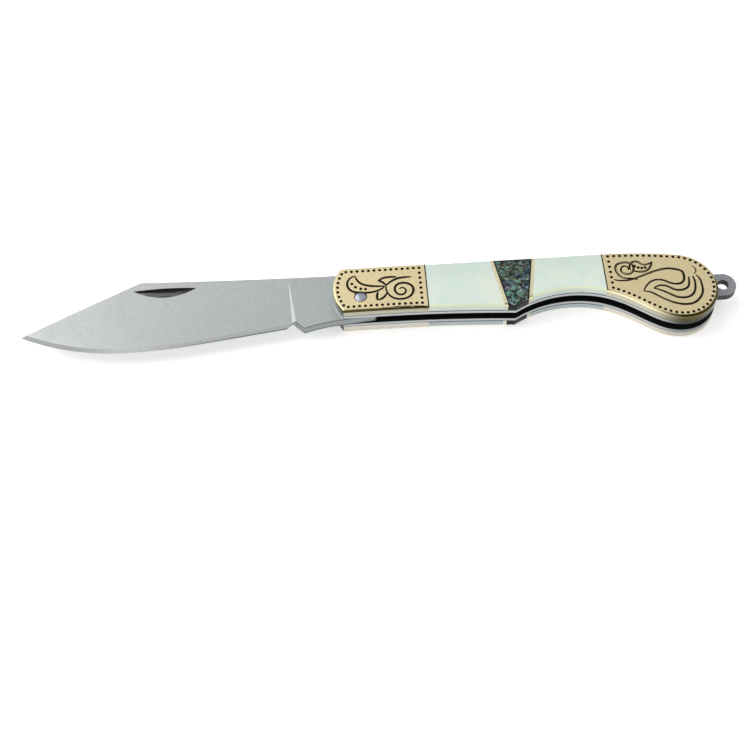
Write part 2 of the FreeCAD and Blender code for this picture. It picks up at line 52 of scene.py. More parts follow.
# The display curve starts straight and goes on as a power
DISPLAY_FULL = 255
STRAIGHT_END = 0.04045
STRAIGHT_SLOPE = 12.92
CURVE_OFFSET = 0.055
CURVE_POWER = 2.4


def tone(red: int, green: int, blue: int) -> Colour:
    """Give the linear colour of a tone.

    Args:
        red: Display value from 0 to 255.
        green: Display value from 0 to 255.
        blue: Display value from 0 to 255.

    Returns:
        The colour as a shader socket takes it, opaque.
    """
    parts = []
    for value in (red, green, blue):
        shown = value / DISPLAY_FULL
        curved = ((shown + CURVE_OFFSET) / (1.0 + CURVE_OFFSET)) ** CURVE_POWER
        parts.append(shown / STRAIGHT_SLOPE if shown <= STRAIGHT_END else curved)
    return (parts[0], parts[1], parts[2], 1.0)


def scaled(colour: Colour, factor: float) -> Colour:
    """Make a colour lighter or darker, up to white."""
    return tuple(min(1.0, part * factor) for part in colour[:3]) + (1.0,)


@dataclass(frozen=True)
class Layers:
    """Levels of the knife's layers, in metres.

    The middle is a height above the table, and the spine is a place along Y. The rest are distances from
    the middle.
    """

    middle: float = 5.05 * MM
    slot: float = 1.4 * MM
    liner: float = 2.4 * MM
    face: float = 5.05 * MM
    spine: float = 10.15 * MM


LAYERS = Layers()


class Effect(Enum):
    """Surface effects that several finishes share."""

    GRAIN = "fine_grain"
    MARKS = "handling_marks"
    SEAM = "seam_line"
    ROUNDING = "rounded_edges"


@dataclass(frozen=True)
class Noise:
    """Soft noise: lumps to the metre, finer layers, their strength, and how far lumps are drawn out."""

    scale: Value
    detail: float = 3.0
    roughness: float = 0.55
    distortion: float = 0.0


class Graph:
    """Builds a node tree by short calls, each of which returns the socket that carries its result."""

    def __init__(self, tree: bpy.types.NodeTree) -> None:
        """Take over the tree of a material, a world or a group, and empty it."""
        self.tree = tree
        tree.nodes.clear()

    def node(self, kind: str, inputs: Optional[Mapping[str, Value]] = None,
             **settings: object) -> bpy.types.Node:
        """Add a node.

        Args:
            kind: Blender's name of the node type.
            inputs: Values or sockets for its named inputs.
            settings: Values for its properties.

        Returns:
            The new node.
        """
        made = self.tree.nodes.new(kind)
        for name, setting in settings.items():
            setattr(made, name, setting)
        for name, value in (inputs or {}).items():
            self.feed(made.inputs[name], value)
        return made

    def feed(self, socket: Socket, value: Value) -> None:
        """Link a socket, or set its value.

        Args:
            socket: Input to feed.
            value: Another node's output, or a constant.
        """
        if isinstance(value, bpy.types.NodeSocket):
            self.tree.links.new(value, socket)
        else:
            socket.default_value = value

    def math(self, operation: str, first: Value, second: Value = 0.0) -> Socket:
        """Work out one number from two.

        Args:
            operation: Name of the operation, such as SUBTRACT.
            first: First number.
            second: Second number, where the operation takes one.

        Returns:
            Socket with the result.
        """
        made = self.node("ShaderNodeMath", operation=operation)
        self.feed(made.inputs[0], first)
        self.feed(made.inputs[1], second)
        return made.outputs[0]

    def chain(self, operation: str, values: Sequence[Value]) -> Socket:
        """Join several numbers by one operation.

        Args:
            operation: Name of the operation, such as MAXIMUM.
            values: The numbers, at least one of them a socket.

        Returns:
            Socket with the result.
        """
        found = values[0]
        for value in values[1:]:
            found = self.math(operation, found, value)
        return found

    def largest(self, *values: Value) -> Socket:
        """Give the largest of several numbers."""
        return self.chain("MAXIMUM", values)

    def product(self, *values: Value) -> Socket:
        """Multiply several numbers."""
        return self.chain("MULTIPLY", values)

    def distance(self, value: Value, level: Value) -> Socket:
        """Give how far a number is from a level."""
        return self.math("ABSOLUTE", self.math("SUBTRACT", value, level))

    def inside(self, value: Value, low: float, high: float) -> Socket:
        """Give 1 where a number lies between two others, and 0 elsewhere."""
        above = self.math("GREATER_THAN", value, low)
        return self.product(above, self.math("LESS_THAN", value, high))

    def band(self, value: Value, low: float, high: float) -> Socket:
        """Rise smoothly from 0 to 1.

        Args:
            value: Number that is looked at.
            low: Where the result is 0; it may be the larger of the two.
            high: Where the result is 1.

        Returns:
            Socket with the result, which stays at 0 or 1 beyond these places.
        """
        made = self.node("ShaderNodeMapRange", interpolation_type="SMOOTHSTEP")
        self.feed(made.inputs["Value"], value)
        made.inputs["From Min"].default_value = low
        made.inputs["From Max"].default_value = high
        return made.outputs[0]

    def between(self, share: Value, start: Value, end: Value) -> Socket:
        """Go from one number to another as the share goes from 0 to 1."""
        made = self.node("ShaderNodeMapRange", {"Value": share, "To Min": start, "To Max": end})
        return made.outputs[0]

    def mix(self, share: Value, first: Value, second: Value, blend: str = "MIX") -> Socket:
        """Mix two colours.

        Args:
            share: Share of the second colour, from 0 to 1.
            first: Colour at 0.
            second: Colour at 1, or the tint that is put on the first one.
            blend: Blender's name of the way they are mixed.

        Returns:
            Socket with the colour.
        """
        made = self.node("ShaderNodeMix", data_type="RGBA", blend_type=blend)
        for place, value in ((0, share), (6, first), (7, second)):
            self.feed(made.inputs[place], value)
        return made.outputs[2]

    def ramp(self, value: Value, stops: Sequence[Tuple[float, Colour]]) -> Socket:
        """Turn a number into a colour.

        Args:
            value: Number from 0 to 1.
            stops: Places along that range, in order, and their colours.

        Returns:
            Socket with the colour.
        """
        made = self.node("ShaderNodeValToRGB", {"Fac": value})
        elements = made.color_ramp.elements
        while len(elements) < len(stops):
            elements.new(1.0)
        for element, (place, colour) in zip(elements, stops):
            element.position = place
            element.color = colour
        return made.outputs["Color"]

    def coordinates(self, output: str = "Object") -> Socket:
        """Give the object's own coordinates, or its normal."""
        return self.node("ShaderNodeTexCoord").outputs[output]

    def parts(self, vector: Value) -> Tuple[Socket, Socket, Socket]:
        """Split a vector into X, Y and Z."""
        made = self.node("ShaderNodeSeparateXYZ", {"Vector": vector})
        return made.outputs[0], made.outputs[1], made.outputs[2]

    def position(self) -> Tuple[Socket, Socket, Socket]:
        """Give the place on the object along X, Y and Z."""
        return self.parts(self.coordinates())

    def facing(self) -> Tuple[Socket, Socket, Socket]:
        """Give the direction of the surface along X, Y and Z."""
        return self.parts(self.coordinates("Normal"))

    def stretched(self, vector: Value, factors: Value) -> Socket:
        """Multiply a vector by a factor along each axis.

        Args:
            vector: The vector.
            factors: One factor for each axis.

        Returns:
            Socket with the product.
        """
        made = self.node("ShaderNodeVectorMath", operation="MULTIPLY")
        self.feed(made.inputs[0], vector)
        self.feed(made.inputs[1], factors)
        return made.outputs[0]

    def turned(self, vector: Value, degrees: float) -> Socket:
        """Turn a pattern about Z."""
        turn = (0.0, 0.0, math.radians(degrees))
        return self.node("ShaderNodeMapping", {"Vector": vector, "Rotation": turn}).outputs[0]

    def noise(self, vector: Value, kind: Noise) -> Socket:
        """Make soft noise.

        Args:
            vector: Place on the surface.
            kind: The noise's settings.

        Returns:
            Socket with a number around a half.
        """
        made = self.node("ShaderNodeTexNoise", {
            "Vector": vector,
            "Scale": kind.scale,
            "Detail": kind.detail,
            "Roughness": kind.roughness,
            "Distortion": kind.distortion,
        })
        return made.outputs[0]

    def bump(self, height: Value, depth: float) -> Socket:
        """Turn a height from 0 to 1 into a normal; 1 stands for the depth, in metres."""
        return self.node("ShaderNodeBump", {"Height": height, "Distance": depth}).outputs[0]


@dataclass
class Effects:
    """The shared effects as node groups, each built once."""

    grain_scale: float = 5000.0
    coarse_share: float = 0.17
    smear_scale: float = 110.0
    smear: Range = (0.42, 0.72)
    scratches: Noise = Noise(scale=170.0, detail=1.0)
    scratch_turn: float = 24.0
    scratch_stretch: Triple = (1.0, 42.0, 1.0)
    scratch: Range = (0.66, 0.72)
    patches: Noise = Noise(scale=260.0, detail=1.0)
    patch: Range = (0.5, 0.66)
    seam_width: float = 0.14 * MM
    seam: Range = (1.0, 0.35)
    off_face: Range = (0.995, 0.93)
    upright: Range = (0.35, 0.12)
    groups: Dict[Effect, bpy.types.NodeTree] = field(default_factory=dict)

    def __post_init__(self) -> None:
        """Build every group."""
        self._grain()
        self._marks()
        self._seam()
        self._rounding()

    def place(self, graph: Graph, effect: Effect, **inputs: Value) -> Mapping[str, Socket]:
        """Put a group into a material.

        Args:
            graph: The material's graph.
            effect: Which group.
            inputs: Values for the group's inputs.

        Returns:
            The group's outputs by name.
        """
        made = graph.node("ShaderNodeGroup")
        made.node_tree = self.groups[effect]
        for name, value in inputs.items():
            graph.feed(made.inputs[name.capitalize()], value)
        return {socket.name: socket for socket in made.outputs}

    def _open(self, effect: Effect, inputs: Mapping[str, Value],
              outputs: Sequence[str]) -> Tuple[Graph, Mapping[str, Socket], bpy.types.Node]:
        """Start a group.

        Args:
            effect: Which effect the group makes.
            inputs: Names and first values of its inputs.
            outputs: Names of its outputs, all numbers.

        Returns:
            The group's graph, its inputs by name and its output node.
        """
        group = bpy.data.node_groups.new(effect.value, "ShaderNodeTree")
        for name, value in inputs.items():
            kind = "NodeSocketVector" if isinstance(value, tuple) else "NodeSocketFloat"
            group.interface.new_socket(name=name, in_out="INPUT", socket_type=kind).default_value = value
        for name in outputs:
            group.interface.new_socket(name=name, in_out="OUTPUT", socket_type="NodeSocketFloat")
        graph = Graph(group)
        entry = graph.node("NodeGroupInput")
        self.groups[effect] = group
        return graph, {socket.name: socket for socket in entry.outputs}, graph.node("NodeGroupOutput")

    def _grain(self) -> None:
        """Fine and coarse noise, which can be drawn out along an axis as brushing is."""
        inputs: Dict[str, Value] = {"Scale": self.grain_scale, "Stretch": (1.0, 1.0, 1.0)}
        graph, given, result = self._open(Effect.GRAIN, inputs, ("Fine", "Coarse"))
        place = graph.stretched(graph.coordinates(), given["Stretch"])
        fine = Noise(given["Scale"], detail=4.0, roughness=0.7)
        coarse = Noise(graph.product(given["Scale"], self.coarse_share))
        graph.feed(result.inputs["Fine"], graph.noise(place, fine))
        graph.feed(result.inputs["Coarse"], graph.noise(place, coarse))

    def _marks(self) -> None:
        """Smears left by fingers and sparse hairline scratches."""
        graph, given, result = self._open(Effect.MARKS, {"Scale": self.smear_scale}, ("Smear", "Hairline"))
        place = graph.coordinates()
        cloud = graph.noise(place, Noise(given["Scale"], roughness=0.6, distortion=0.8))
        graph.feed(result.inputs["Smear"], graph.band(cloud, *self.smear))
        drawn = graph.stretched(graph.turned(place, self.scratch_turn), self.scratch_stretch)
        lines = graph.band(graph.noise(drawn, self.scratches), *self.scratch)
        patches = graph.band(graph.noise(place, self.patches), *self.patch)
        graph.feed(result.inputs["Hairline"], graph.product(lines, patches))

    def _seam(self) -> None:
        """Dark line where a layer starts, on both sides of the knife."""
        inputs: Dict[str, Value] = {"Level": LAYERS.liner, "Width": self.seam_width}
        graph, given, result = self._open(Effect.SEAM, inputs, ("Line",))
        height = graph.position()[2]
        off_level = graph.distance(graph.distance(height, LAYERS.middle), given["Level"])
        part = graph.math("DIVIDE", off_level, given["Width"])
        graph.feed(result.inputs["Line"], graph.band(part, *self.seam))

    def _rounding(self) -> None:
        """Masks for rounded edges and for upright walls, from the direction of the surface."""
        graph, _, result = self._open(Effect.ROUNDING, {}, ("Edge", "Wall"))
        flatness = graph.math("ABSOLUTE", graph.facing()[2])
        wall = graph.band(flatness, *self.upright)
        edge = graph.math("SUBTRACT", graph.band(flatness, *self.off_face), wall)
        graph.feed(result.inputs["Edge"], edge)
        graph.feed(result.inputs["Wall"], wall)


class Finish:
    """A finish that knows how to make its material."""

    name: str

    def draw(self, graph: Graph, effects: Effects) -> Mapping[str, Value]:
        """Add the finish's own nodes.

        Args:
            graph: The material's graph.
            effects: The shared effects.

        Returns:
            Values and sockets for the shader's inputs, by name.
        """
        raise NotImplementedError

    def material(self, effects: Effects) -> bpy.types.Material:
        """Make the material.

        Args:
            effects: The shared effects.

        Returns:
            The material, with one shader.
        """
        made = bpy.data.materials.new(self.name)
        made.use_nodes = True
        graph = Graph(made.node_tree)
        shader = graph.node("ShaderNodeBsdfPrincipled", self.draw(graph, effects))
        graph.node("ShaderNodeOutputMaterial", {"Surface": shader.outputs[0]})
        return made


@dataclass(frozen=True)
class Steel(Finish):
    """Bare steel with drawn-out grinding lines."""

    name: str
    colour: Colour
    roughness: float
    stretch: Triple
    metallic: float = 1.0
    grain: float = 2600.0
    grain_tones: Range = (0.3, 0.7)
    grain_roughness: float = 0.08
    contrast: float = 0.05
    smear_roughness: float = 0.07
    depth: float = 0.004 * MM
    scratch_depth: float = 0.5
    # Colour of the dark marks: painted shade and dark reflections, and the liner's seam line
    dark: Colour = tone(16, 17, 18)
    dark_metallic: float = 0.2
    dark_roughness: float = 0.6
    belly_wall_painted_shade: float = 0.0
    belly: Range = (0.3, -0.1)

    def dark_marks_and_painted_shade(self, graph: Graph, effects: Effects) -> Value:
        """Mask where the steel is dark; here painted shade on its walls on the belly side, if it has any."""
        belly = graph.band(graph.facing()[1], *self.belly)
        return graph.product(effects.place(graph, Effect.ROUNDING)["Wall"], belly, self.belly_wall_painted_shade)

    def draw(self, graph: Graph, effects: Effects) -> Mapping[str, Value]:
        """Add the steel's nodes.

        Args:
            graph: The material's graph.
            effects: The shared effects.

        Returns:
            Values and sockets for the shader's inputs, by name.
        """
        lines = effects.place(graph, Effect.GRAIN, scale=self.grain, stretch=self.stretch)
        marks = effects.place(graph, Effect.MARKS)
        light = scaled(self.colour, 1.0 + self.contrast)
        deep = scaled(self.colour, 1.0 - self.contrast)
        colour = graph.mix(graph.band(lines["Fine"], *self.grain_tones), deep, light)
        dark = self.dark_marks_and_painted_shade(graph, effects)
        rough = graph.between(marks["Smear"], self.roughness, self.roughness + self.smear_roughness)
        rough = graph.math("ADD", rough, graph.product(lines["Coarse"], self.grain_roughness))
        scratches = graph.product(marks["Hairline"], self.scratch_depth)
        height = graph.math("SUBTRACT", lines["Fine"], scratches)
        return {
            "Base Color": graph.mix(dark, colour, self.dark),
            "Metallic": graph.between(dark, self.metallic, self.dark_metallic),
            "Roughness": graph.between(dark, rough, self.dark_roughness),
            "Normal": graph.bump(height, self.depth),
        }


@dataclass(frozen=True)
class LinerSteel(Steel):
    """Liner steel: painted shade on the slot's faces, a dark seam line, and a painted dark reflection at the
    butt.
    """

    belly: Range = (-0.3, -0.7)
    slot: Range = (LAYERS.slot + 0.04 * MM, LAYERS.slot + 0.01 * MM)
    slot_face: Range = (0.8, 0.95)
    butt_reflection_reach: Range = (72.0 * MM, 80.0 * MM)
    upper: Range = (LAYERS.middle, LAYERS.middle + LAYERS.slot)
    painted_reflection_low: float = 0.4
    painted_reflection_high: float = 0.93

    def dark_marks_and_painted_shade(self, graph: Graph, effects: Effects) -> Value:
        """Mask the painted shade on the slot's faces, the seam, and the painted dark reflection under the
        butt.

        Args:
            graph: The material's graph.
            effects: The shared effects.

        Returns:
            Socket with the mask.
        """
        along, _, height = graph.position()
        _, northward, upward = graph.facing()
        flatness = graph.math("ABSOLUTE", upward)
        # Painted shade on the faces that look into the slot
        inside = graph.band(graph.distance(height, LAYERS.middle), *self.slot)
        slot = graph.product(inside, graph.band(flatness, *self.slot_face))
        # Painted dark reflection on the belly-side walls under the butt, stronger on the upper side
        butt = graph.product(
            graph.band(along, *self.butt_reflection_reach),
            graph.band(northward, *self.belly),
            graph.between(graph.band(height, *self.upper), self.painted_reflection_low, self.painted_reflection_high),
        )
        return graph.largest(slot, butt, effects.place(graph, Effect.SEAM)["Line"])


@dataclass(frozen=True)
class BladeSteel(Steel):
    """Satin blade steel, warmer towards the point, with painted shade in the nail nick and dark along the
    edge.
    """

    belly: Range = (-0.3, -0.6)
    # Painted shade in the nail nick
    nick_low: Triple = (-66.8 * MM, 6.2 * MM, 5.2 * MM)
    nick_high: Triple = (-48.0 * MM, 10.6 * MM, 6.6 * MM)
    nick_wall: Range = (-0.35, -0.6)
    nick_line: Range = (8.5 * MM, 8.95 * MM)
    nick_fade: Range = (-65.0 * MM, -59.0 * MM)
    fade_dark: float = 0.7
    ramp_lean: Range = (0.05, 0.15)
    ramp_rise: Range = (0.3, 0.6)
    streaks: Noise = Noise(scale=450.0)
    streak_turn: float = -6.0
    streak_stretch: Triple = (0.25, 3.0, 1.0)
    streak: Range = (0.42, 0.6)
    streak_dark: float = 0.97
    streak_light: float = 0.68
    # Painted shade on the walls on the belly side, darker near their rims
    wall_dark: float = 0.36
    rim: Range = (0.8 * MM, 1.05 * MM)
    rim_dark: float = 0.75
    keen: Range = (0.12 * MM, 0.05 * MM)
    keen_fade: Range = (-64.0 * MM, -36.0 * MM)
    keen_lean: Range = (-0.1, -0.2)
    keen_face: Range = (0.3, 0.6)
    keen_dark: float = 0.75
    # Painted dark reflection on the bevel near the tip
    tip_fade: Range = (-66.0 * MM, -84.0 * MM)
    tip_least_tilt: Range = (0.993, 0.983)
    tip_most_tilt: Range = (0.9, 0.95)
    tip_dark: float = 0.34
    warmth: Colour = (1.0, 0.964, 0.928, 1.0)
    warmth_fade: Range = (-26.0 * MM, -52.0 * MM)

    def draw(self, graph: Graph, effects: Effects) -> Mapping[str, Value]:
        """Add the blade's nodes.

        Args:
            graph: The material's graph.
            effects: The shared effects.

        Returns:
            Values and sockets for the shader's inputs, by name.
        """
        found = dict(super().draw(graph, effects))
        share = graph.band(graph.position()[0], *self.warmth_fade)
        found["Base Color"] = graph.mix(share, found["Base Color"], self.warmth, "MULTIPLY")
        return found

    def nick(self, graph: Graph) -> Value:
        """Mask the painted shade in the nail nick, dark along its upper wall and streaked down its ramp.

        Args:
            graph: The material's graph.

        Returns:
            Socket with the mask.
        """
        place = graph.coordinates()
        places = graph.parts(place)
        _, lean, upward = graph.facing()
        drawn = graph.stretched(graph.turned(place, self.streak_turn), self.streak_stretch)
        streaks = graph.band(graph.noise(drawn, self.streaks), *self.streak)
        ramp = graph.between(streaks, self.streak_dark, self.streak_light)
        fade = graph.between(graph.band(places[0], *self.nick_fade), self.fade_dark, 1.0)
        ramp = graph.largest(graph.product(ramp, fade), graph.band(places[1], *self.nick_line))
        ramp = graph.product(ramp, graph.band(lean, *self.ramp_lean), graph.band(upward, *self.ramp_rise))
        mask = graph.largest(graph.band(lean, *self.nick_wall), ramp)
        for part, low, high in zip(places, self.nick_low, self.nick_high):
            mask = graph.product(mask, graph.inside(part, low, high))
        return mask

    def dark_marks_and_painted_shade(self, graph: Graph, effects: Effects) -> Value:
        """Mask painted shade in the nick and on belly-side walls, the dark edge, and the tip's painted
        reflection.

        Args:
            graph: The material's graph.
            effects: The shared effects.

        Returns:
            Socket with the mask.
        """
        along, _, height = graph.position()
        _, lean, upward = graph.facing()
        away = graph.distance(height, LAYERS.middle)
        flatness = graph.math("ABSOLUTE", upward)
        wall = graph.product(
            graph.between(graph.band(away, *self.rim), self.wall_dark, self.rim_dark),
            effects.place(graph, Effect.ROUNDING)["Wall"],
            graph.band(lean, *self.belly),
        )
        keen = graph.product(
            graph.band(away, *self.keen),
            self.keen_dark,
            graph.band(along, *self.keen_fade),
            graph.band(lean, *self.keen_lean),
            graph.band(flatness, *self.keen_face),
        )
        tip = graph.product(
            graph.band(flatness, *self.tip_least_tilt),
            graph.band(flatness, *self.tip_most_tilt),
            graph.band(along, *self.tip_fade),
            self.tip_dark,
        )
        return graph.largest(self.nick(graph), wall, keen, tip)


@dataclass(frozen=True)
class Brass(Finish):
    """Pale brass: grained satin faces, polished sides coloured with painted reflections, and a dark joint
    line over the liner.
    """

    name: str
    colour: Colour = (0.88, 0.75, 0.45, 1.0)
    # Painted reflections: the walls get pale or darker tones in place of the brass colour, and the rounded
    # edges get a less saturated tone that whitens their highlight
    lower_wall_painted_reflection: Colour = (0.66, 0.635, 0.56, 1.0)
    upper_wall_painted_reflection: Colour = (0.5, 0.48, 0.385, 1.0)
    edge: Colour = (0.86, 0.77, 0.48, 1.0)
    upper: Range = (LAYERS.middle, LAYERS.middle + LAYERS.liner)
    spine: Range = (0.1, 0.5)
    spine_wall_painted_reflection: float = 0.62
    grain: float = 4200.0
    grain_tones: Range = (0.3, 0.7)
    deep: float = 0.8
    light: float = 1.1
    patches: Range = (0.45, 0.75)
    patch_share: float = 0.35
    smears: float = 160.0
    smear_roughness: float = 0.07
    face_roughness: float = 0.38
    edge_roughness: float = 0.3
    buffed_roughness: float = 0.18
    depth: float = 0.006 * MM
    polished_depth: float = 0.25
    scratch_depth: float = 0.4
    patina_and_painted_shade: Colour = tone(20, 12, 3)
    patina_roughness: float = 0.55
    patina_gloss: float = 0.15

    def dark_marks_and_painted_shade(self, graph: Graph, effects: Effects) -> Value:
        """Mask the places where the brass is dark; here the joint line."""
        return effects.place(graph, Effect.SEAM)["Line"]

    def with_painted_reflection(self, graph: Graph, masks: Mapping[str, Socket], colour: Value) -> Value:
        """Put painted dark reflections over the colour; plain brass has none."""
        return colour

    def draw(self, graph: Graph, effects: Effects) -> Mapping[str, Value]:
        """Add the brass's nodes.

        Args:
            graph: The material's graph.
            effects: The shared effects.

        Returns:
            Values and sockets for the shader's inputs, by name.
        """
        grain = effects.place(graph, Effect.GRAIN, scale=self.grain)
        marks = effects.place(graph, Effect.MARKS, scale=self.smears)
        masks = effects.place(graph, Effect.ROUNDING)
        dark = self.dark_marks_and_painted_shade(graph, effects)
        fine = graph.band(grain["Fine"], *self.grain_tones)
        colour = graph.mix(fine, scaled(self.colour, self.deep), scaled(self.colour, self.light))
        coarse = graph.product(graph.band(grain["Coarse"], *self.patches), self.patch_share)
        colour = graph.mix(coarse, colour, self.colour)
        colour = graph.mix(masks["Edge"], colour, self.edge)
        # Painted reflections in the walls' colours, set by side and by facing
        upper = graph.band(graph.position()[2], *self.upper)
        wall = graph.mix(upper, self.lower_wall_painted_reflection, self.upper_wall_painted_reflection)
        spine = graph.band(graph.facing()[1], *self.spine)
        wall = graph.mix(spine, wall, scaled(self.colour, self.spine_wall_painted_reflection))
        colour = self.with_painted_reflection(graph, masks, graph.mix(masks["Wall"], colour, wall))
        rough = graph.between(masks["Edge"], self.face_roughness, self.edge_roughness)
        rough = graph.between(masks["Wall"], rough, self.buffed_roughness)
        rough = graph.math("ADD", rough, graph.product(marks["Smear"], self.smear_roughness))
        polished = graph.largest(masks["Edge"], masks["Wall"])
        relief = graph.product(grain["Fine"], graph.between(polished, 1.0, self.polished_depth))
        scratches = graph.product(marks["Hairline"], self.scratch_depth)
        relief = graph.math("SUBTRACT", relief, scratches)
        return {
            "Base Color": graph.mix(dark, colour, self.patina_and_painted_shade),
            "Metallic": graph.between(dark, 1.0, 0.0),
            "Roughness": graph.between(dark, rough, self.patina_roughness),
            "Specular IOR Level": self.patina_gloss,
            "Normal": graph.bump(relief, self.depth),
        }


@dataclass(frozen=True)
class EtchedBrass(Brass):
    """Brass of the bolsters: dark colour in what is etched, painted shade round the pivot, and painted dark
    reflections.
    """

    sunk: Range = (0.04 * MM, 0.1 * MM)
    groove_floor: Range = (0.95, 0.99)
    groove_wall: Range = (0.95, 0.9)
    groove_end: Range = (0.32 * MM, 0.25 * MM)
    rim_radius: float = 0.55 * MM
    steeper: Range = (-0.02, -0.08)
    far_wall: Range = (0.1, 0.4)
    far_wall_dark: float = 0.85
    front_along: Range = (-9.3 * MM, 12.0 * MM)
    front_across: Range = (-1.6 * MM, 8.5 * MM)
    pivot: Tuple[float, float] = (-5.35 * MM, 0.65 * MM)
    # Painted shade: a dark ring on the brass round the pivot pin
    pivot_shade_ring: Range = (1.78 * MM, 1.68 * MM)
    # Painted dark reflections on rounded edges and walls: under the front belly edge, on the nose and at the
    # butt
    dark_reflection_tone: Colour = (0.055, 0.04, 0.003, 1.0)
    dark_reflection_share: float = 0.98
    front_reflection_reach: Range = (16.0 * MM, 12.0 * MM)
    belly: Range = (-0.15, -0.4)
    line_start: Range = (0.07 * MM, 0.18 * MM)
    line_end: Range = (1.1 * MM, 0.8 * MM)
    lower_line: float = 0.1
    wall_reflection_share: float = 0.2
    edge_reflection_share: float = 0.45
    nose: Range = (-0.3, -0.65)
    butt_reflection_reach: Range = (69.5 * MM, 80.0 * MM)
    butt_side: Range = (0.4, 0.0)
    lower_butt: float = 0.3

    def dark_marks_and_painted_shade(self, graph: Graph, effects: Effects) -> Value:
        """Mask the joint line, what is etched, and the painted shade round the pivot."""
        return graph.largest(super().dark_marks_and_painted_shade(graph, effects), self.etching(graph))

    def with_painted_reflection(self, graph: Graph, masks: Mapping[str, Socket], colour: Value) -> Value:
        """Put the painted dark reflections over the colour."""
        return graph.mix(self.painted_reflection(graph, masks), colour, self.dark_reflection_tone)

    def sinking(self, graph: Graph, height: Value) -> Socket:
        """Give how far a place lies below the nearer face of the handle."""
        return graph.math("SUBTRACT", LAYERS.face, graph.distance(height, LAYERS.middle))

    def etching(self, graph: Graph) -> Value:
        """Mask the etched lines and dots, and the painted shade ring round the pivot.

        A groove's wall is told from the rounded edge of the bolster by being steeper at the same depth.
        In the front ornament, which stays clear of that edge, every wall counts.

        Args:
            graph: The material's graph.

        Returns:
            Socket with the mask.
        """
        along, across, height = graph.position()
        _, northward, upward = graph.facing()
        depth = self.sinking(graph, height)
        flatness = graph.math("ABSOLUTE", upward)
        floor = graph.product(graph.band(depth, *self.sunk), graph.band(flatness, *self.groove_floor))
        rim = graph.math("SUBTRACT", 1.0, graph.math("DIVIDE", depth, self.rim_radius))
        steep = graph.band(graph.math("SUBTRACT", flatness, rim), *self.steeper)
        front = graph.product(
            graph.band(flatness, *self.groove_wall),
            graph.inside(along, *self.front_along),
            graph.inside(across, *self.front_across),
        )
        wall = graph.product(
            graph.largest(steep, front),
            graph.band(depth, *self.groove_end),
            graph.between(graph.band(northward, *self.far_wall), 1.0, self.far_wall_dark),
        )
        # Painted shade round the pivot pin
        run = graph.math("POWER", graph.math("SUBTRACT", along, self.pivot[0]), 2.0)
        rise = graph.math("POWER", graph.math("SUBTRACT", across, self.pivot[1]), 2.0)
        ring = graph.math("SQRT", graph.math("ADD", run, rise))
        return graph.largest(floor, wall, graph.band(ring, *self.pivot_shade_ring))

    def painted_reflection(self, graph: Graph, masks: Mapping[str, Socket]) -> Value:
        """Mask the painted dark reflections: a line under the front belly edge, the nose, and the sides of
        the butt.

        Args:
            graph: The material's graph.
            masks: Masks of the rounded edges and of the walls.

        Returns:
            Socket with the mask.
        """
        along, _, height = graph.position()
        eastward, northward, _ = graph.facing()
        depth = self.sinking(graph, height)
        upper = graph.band(height, *self.upper)
        line = graph.product(graph.band(depth, *self.line_start), graph.band(depth, *self.line_end))
        line = graph.largest(line, graph.product(masks["Wall"], self.wall_reflection_share))
        belly = graph.product(graph.band(northward, *self.belly), graph.between(upper, self.lower_line, 1.0))
        rounded = graph.largest(masks["Wall"], graph.product(masks["Edge"], self.edge_reflection_share))
        nose = graph.product(graph.band(eastward, *self.nose), rounded)
        front = graph.largest(graph.product(belly, line), nose)
        front = graph.product(front, graph.band(along, *self.front_reflection_reach))
        butt = graph.product(
            graph.band(along, *self.butt_reflection_reach),
            graph.band(northward, *self.butt_side),
            graph.between(upper, self.lower_butt, 1.0),
            graph.largest(masks["Edge"], masks["Wall"]),
        )
        return graph.product(graph.largest(front, butt), self.dark_reflection_share)


